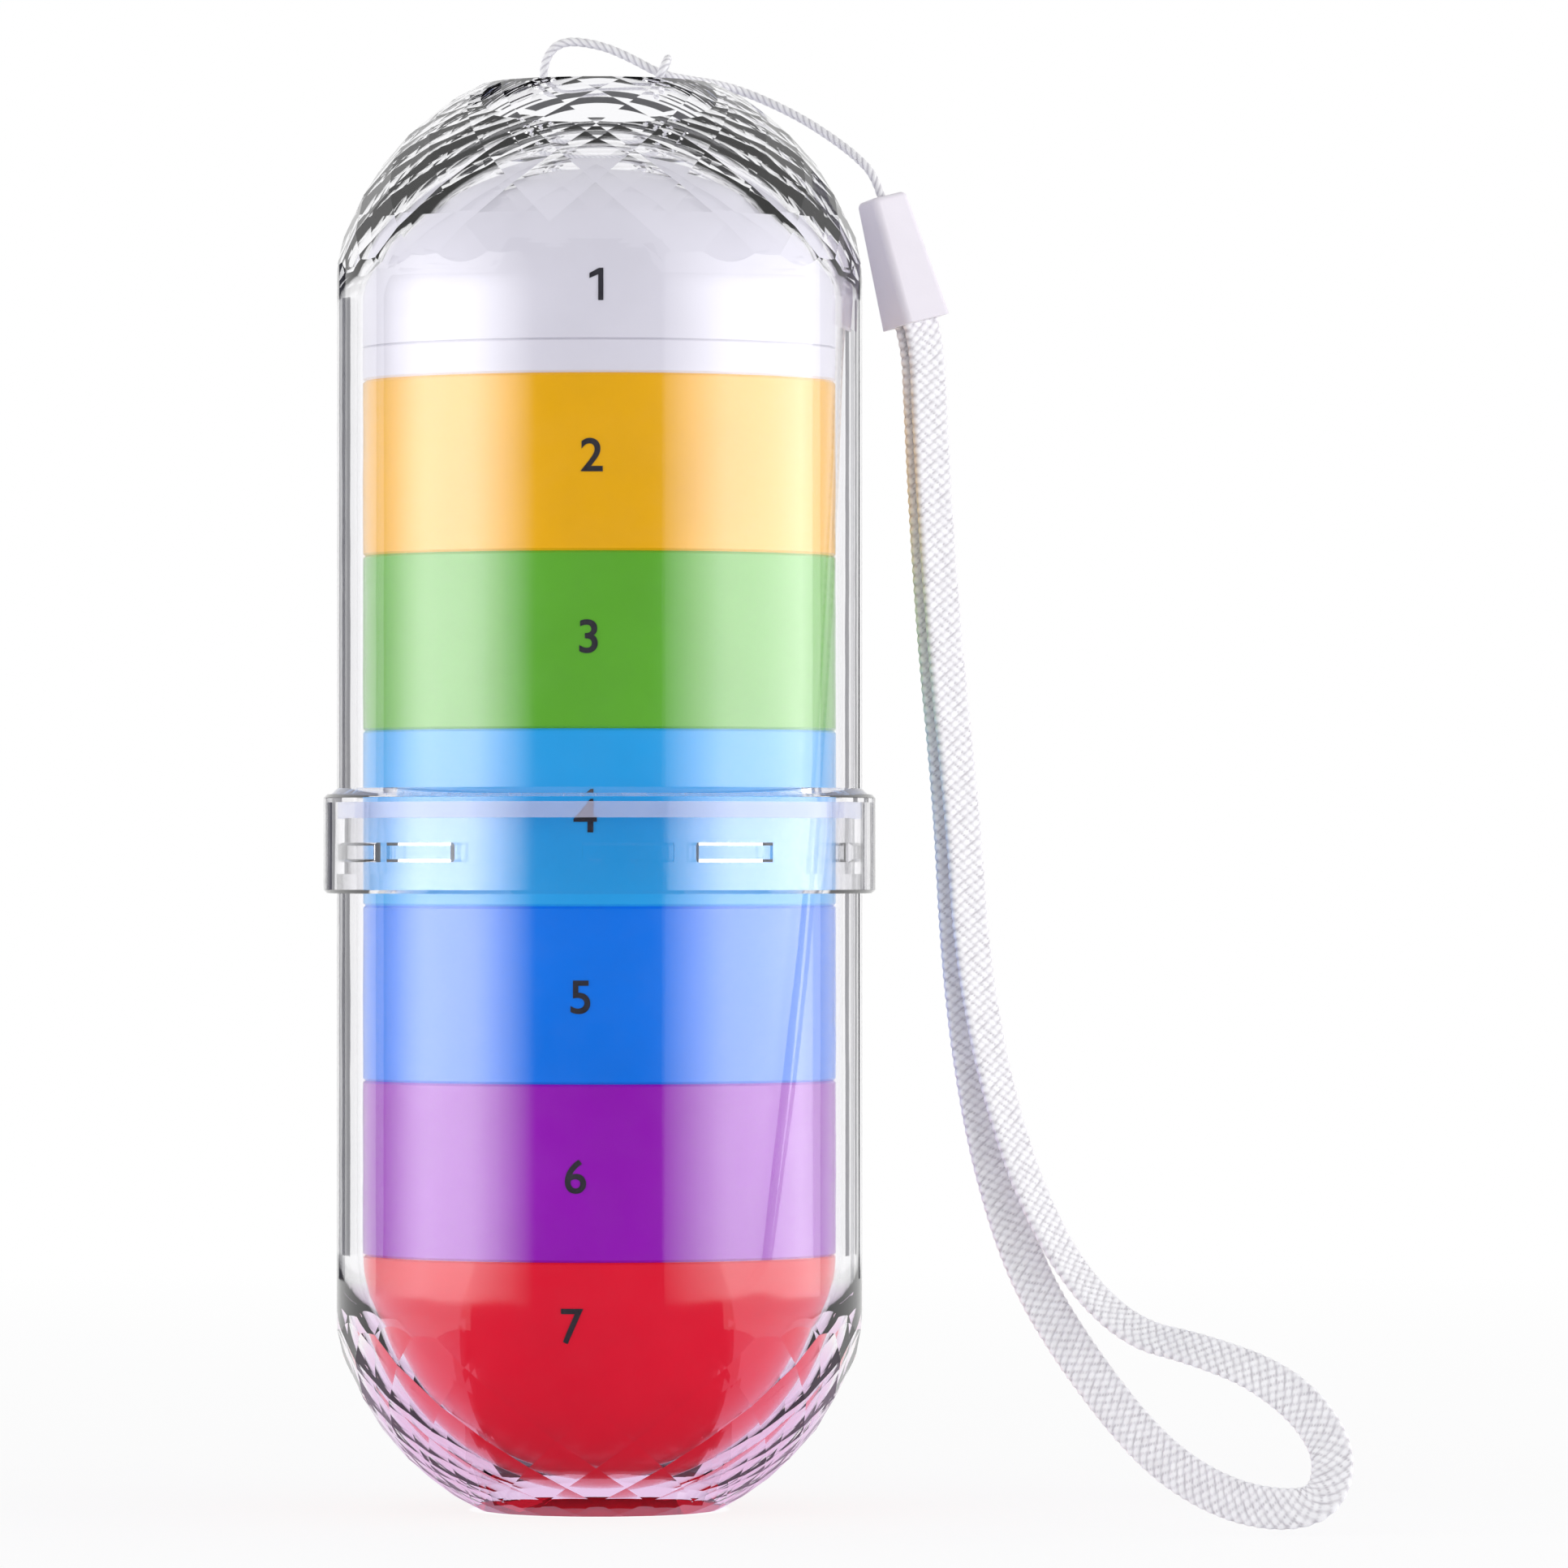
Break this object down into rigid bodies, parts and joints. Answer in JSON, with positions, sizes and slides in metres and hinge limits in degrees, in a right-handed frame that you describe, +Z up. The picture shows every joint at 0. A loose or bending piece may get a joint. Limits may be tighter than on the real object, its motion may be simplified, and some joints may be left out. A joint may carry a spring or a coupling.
{
  "type": "weekly pill organizer",
  "caption": "Clear capsule case with gem-cut ends around a stack of round, coloured day cups, with a domed lid on the top one and a wrist lanyard through the crown.",
  "frame": {"origin": "centre of the case's flat base, on the surface that it stands on", "axes": "+Z up along the case's axis, -Y towards the picture's camera, +X to the right in the picture"},
  "size_m": [0.0865, 0.0579, 0.1261],
  "materials": {
    "clear_shell": "clear, polished",
    "seal": "frosty, translucent",
    "red_plastic": "moulded, glossy",
    "purple_plastic": "moulded, glossy",
    "blue_plastic": "moulded, glossy",
    "sky_plastic": "moulded, glossy",
    "green_plastic": "moulded, glossy",
    "yellow_plastic": "moulded, glossy",
    "white_plastic": "moulded, glossy",
    "white_cord": "fine white cord",
    "white_braid": "flat white braid",
    "clamp_plastic": "moulded, satin"
  },
  "bodies": {
    "lower_case": {"lower_shell": "clear_shell"},
    "cup_7": {"cup_7_red": "red_plastic"},
    "cup_6": {"cup_6_purple": "purple_plastic"},
    "cup_5": {"cup_5_blue": "blue_plastic"},
    "cup_4": {"cup_4_sky": "sky_plastic"},
    "cup_3": {"cup_3_green": "green_plastic"},
    "cup_2": {"cup_2_yellow": "yellow_plastic"},
    "cup_1": {"cup_1_base": "white_plastic"},
    "lid_1": {"cup_1_dome": "white_plastic"},
    "seal": {"seal_ring": "seal"},
    "cap": {"upper_shell": "clear_shell", "lanyard_cord": "white_cord", "cord_clamp": "clamp_plastic", "wrist_strap": "white_braid"}
  },
  "joints": [
    {"name": "cup_7_lift", "type": "slide", "parent": "lower_case", "child": "cup_7", "axis": [0, 0, 1], "range_m": [0, 0.06]},
    {"name": "cup_6_lift", "type": "slide", "parent": "cup_7", "child": "cup_6", "axis": [0, 0, 1], "range_m": [0, 0.025]},
    {"name": "cup_5_lift", "type": "slide", "parent": "cup_6", "child": "cup_5", "axis": [0, 0, 1], "range_m": [0, 0.025]},
    {"name": "cup_4_lift", "type": "slide", "parent": "cup_5", "child": "cup_4", "axis": [0, 0, 1], "range_m": [0, 0.025]},
    {"name": "cup_3_lift", "type": "slide", "parent": "cup_4", "child": "cup_3", "axis": [0, 0, 1], "range_m": [0, 0.025]},
    {"name": "cup_2_lift", "type": "slide", "parent": "cup_3", "child": "cup_2", "axis": [0, 0, 1], "range_m": [0, 0.025]},
    {"name": "cup_1_lift", "type": "slide", "parent": "cup_2", "child": "cup_1", "axis": [0, 0, 1], "range_m": [0, 0.025]},
    {"name": "lid_1_lift", "type": "slide", "parent": "cup_1", "child": "lid_1", "axis": [0, 0, 1], "range_m": [0, 0.025]},
    {"name": "cap_lift", "type": "slide", "parent": "lid_1", "child": "seal", "axis": [0, 0, 1], "range_m": [0, 0.075]},
    {"name": "cap_twist", "type": "hinge", "parent": "seal", "child": "cap", "pos_m": [0, 0, 0.06], "axis": [0, 0, 1], "range_deg": [-4, 28]}
  ]
}
